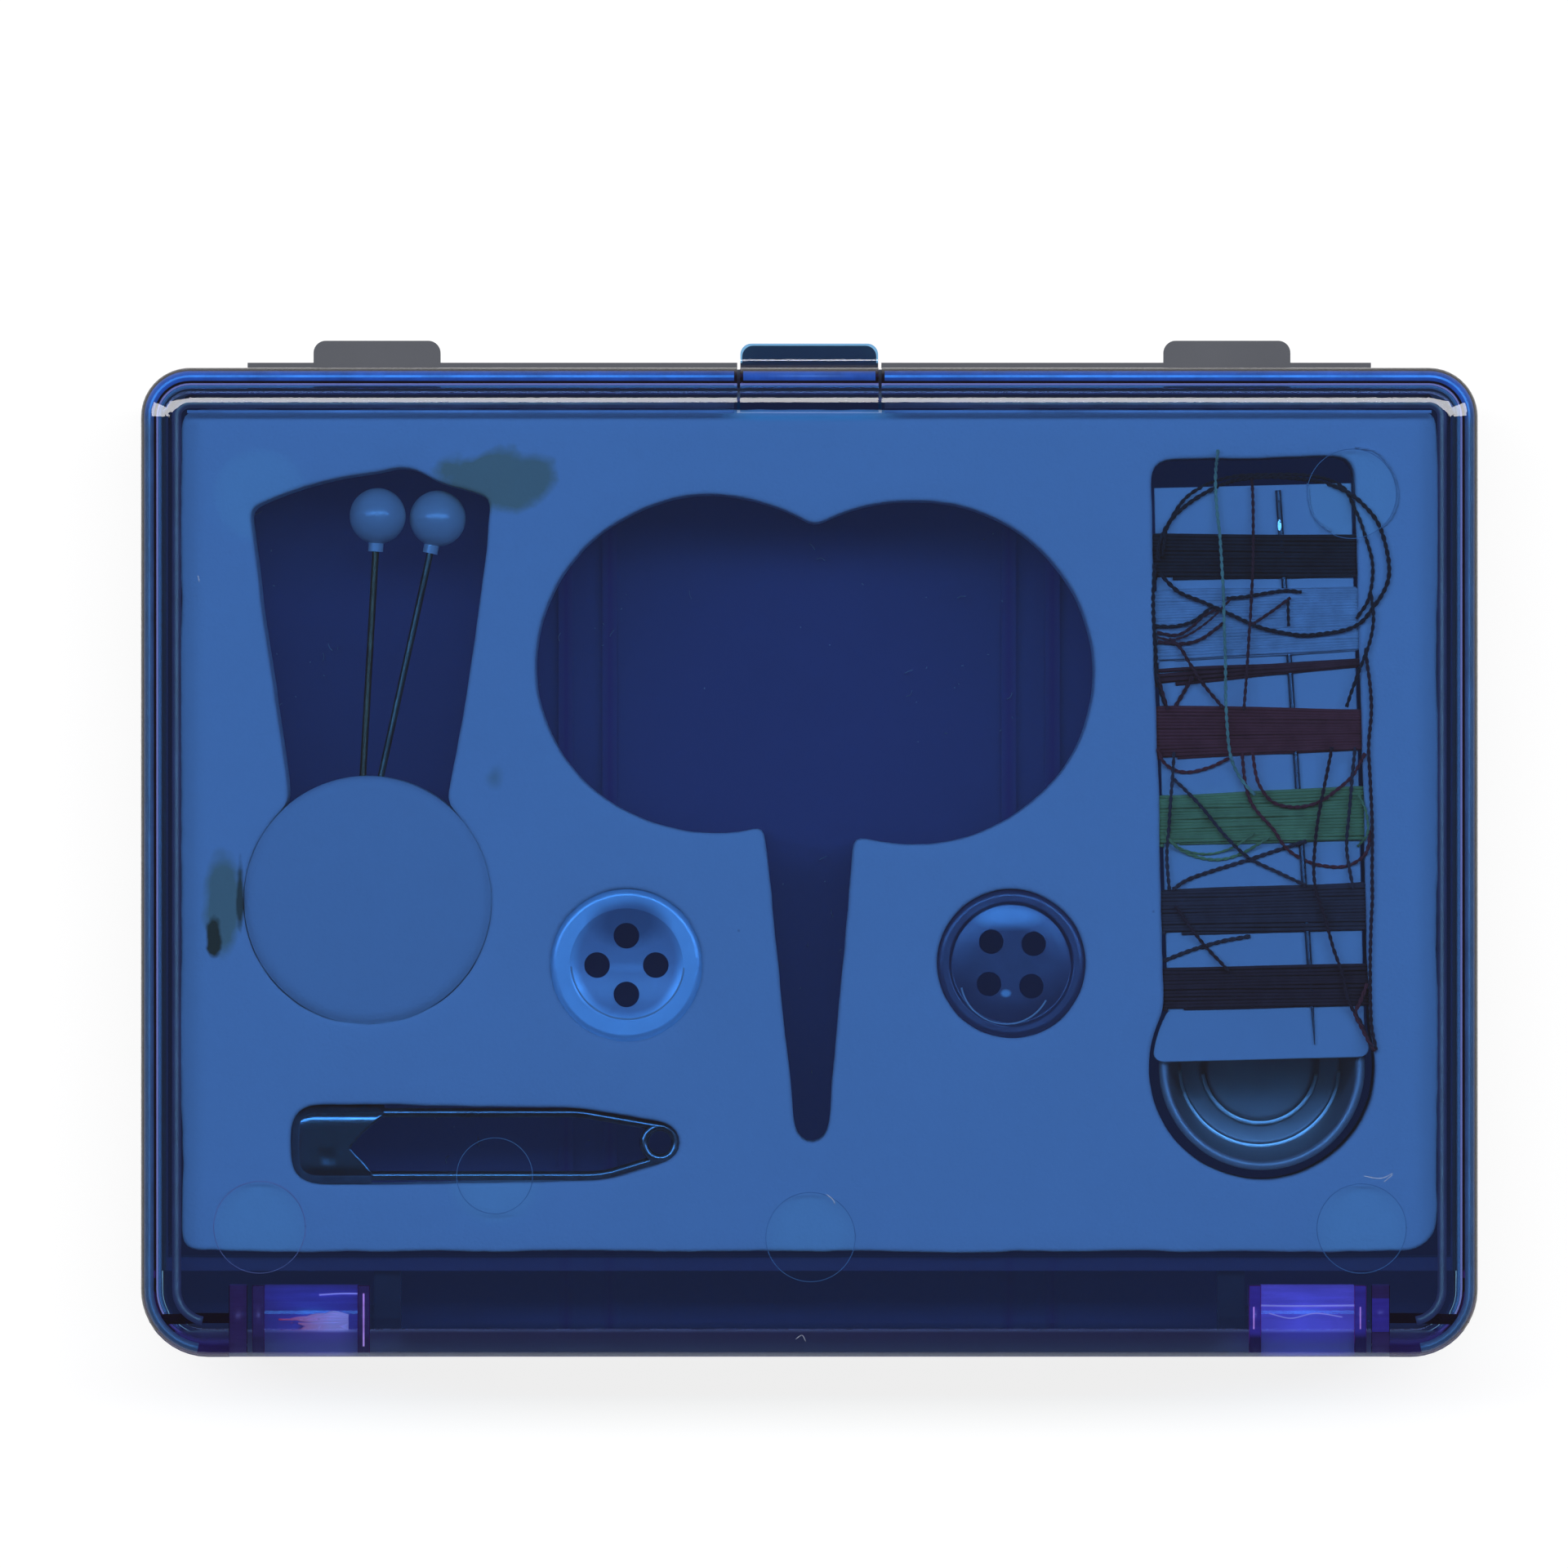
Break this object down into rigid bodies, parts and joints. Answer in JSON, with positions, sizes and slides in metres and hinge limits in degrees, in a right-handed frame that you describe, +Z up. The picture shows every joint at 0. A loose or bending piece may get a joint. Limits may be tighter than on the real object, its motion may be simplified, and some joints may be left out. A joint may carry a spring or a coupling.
{
  "type": "pocket sewing kit box",
  "caption": "Flat hinged plastic box with a clear blue lid over a foam block that holds a pocket sewing kit: thread card, thimble, buttons, safety pin, needle and ball-head pins.",
  "frame": {"origin": "underside of the tray, at the middle of the box", "axes": "+X along the box, +Y towards the latch, +Z up"},
  "size_m": [0.1092, 0.0831, 0.022],
  "materials": {
    "smoke_plastic": "smoke-grey moulded polystyrene",
    "clear_blue_plastic": "clear blue moulded polystyrene",
    "white_foam": "fine-celled white foam",
    "bright_steel": "nickel-plated steel",
    "pearl_bead": "pearly white plastic",
    "pearl_button": "pearly clear plastic",
    "grey_button": "grey plastic",
    "thimble_metal": "drawn aluminium, dulled",
    "white_card": "smooth white card",
    "black_thread": "spun sewing thread",
    "white_thread": "spun sewing thread",
    "wine_thread": "spun sewing thread",
    "maroon_thread": "spun sewing thread",
    "green_thread": "spun sewing thread",
    "navy_thread": "spun sewing thread",
    "brown_thread": "spun sewing thread"
  },
  "bodies": {
    "tray": {"base_tray": "smoke_plastic", "foam_insert": "white_foam", "pincushion": "white_foam", "pin_shaft_left": "bright_steel", "pin_shaft_right": "bright_steel", "pin_head_left": "pearl_bead", "pin_head_right": "pearl_bead", "button_pearl": "pearl_button", "button_grey": "grey_button", "safety_pin_clasp": "bright_steel", "safety_pin_wire": "bright_steel", "thimble": "thimble_metal", "thread_card": "white_card", "needle": "bright_steel", "thread_black": "black_thread", "thread_white": "white_thread", "thread_wine": "wine_thread", "thread_maroon": "maroon_thread", "thread_green": "green_thread", "thread_navy": "navy_thread", "thread_brown": "brown_thread"},
    "lid": {"lid": "clear_blue_plastic"},
    "latch": {"latch_tongue": "clear_blue_plastic"}
  },
  "joints": [
    {"name": "lid_hinge", "type": "hinge", "parent": "tray", "child": "lid", "pos_m": [0, -0.0372, 0.013], "axis": [1, 0, 0], "range_deg": [0, 115]},
    {"name": "latch_flex", "type": "hinge", "parent": "lid", "child": "latch", "pos_m": [0, 0.0367, 0.022], "axis": [1, 0, 0], "range_deg": [0, 6], "stiffness_Nm_per_rad": 0.3}
  ]
}
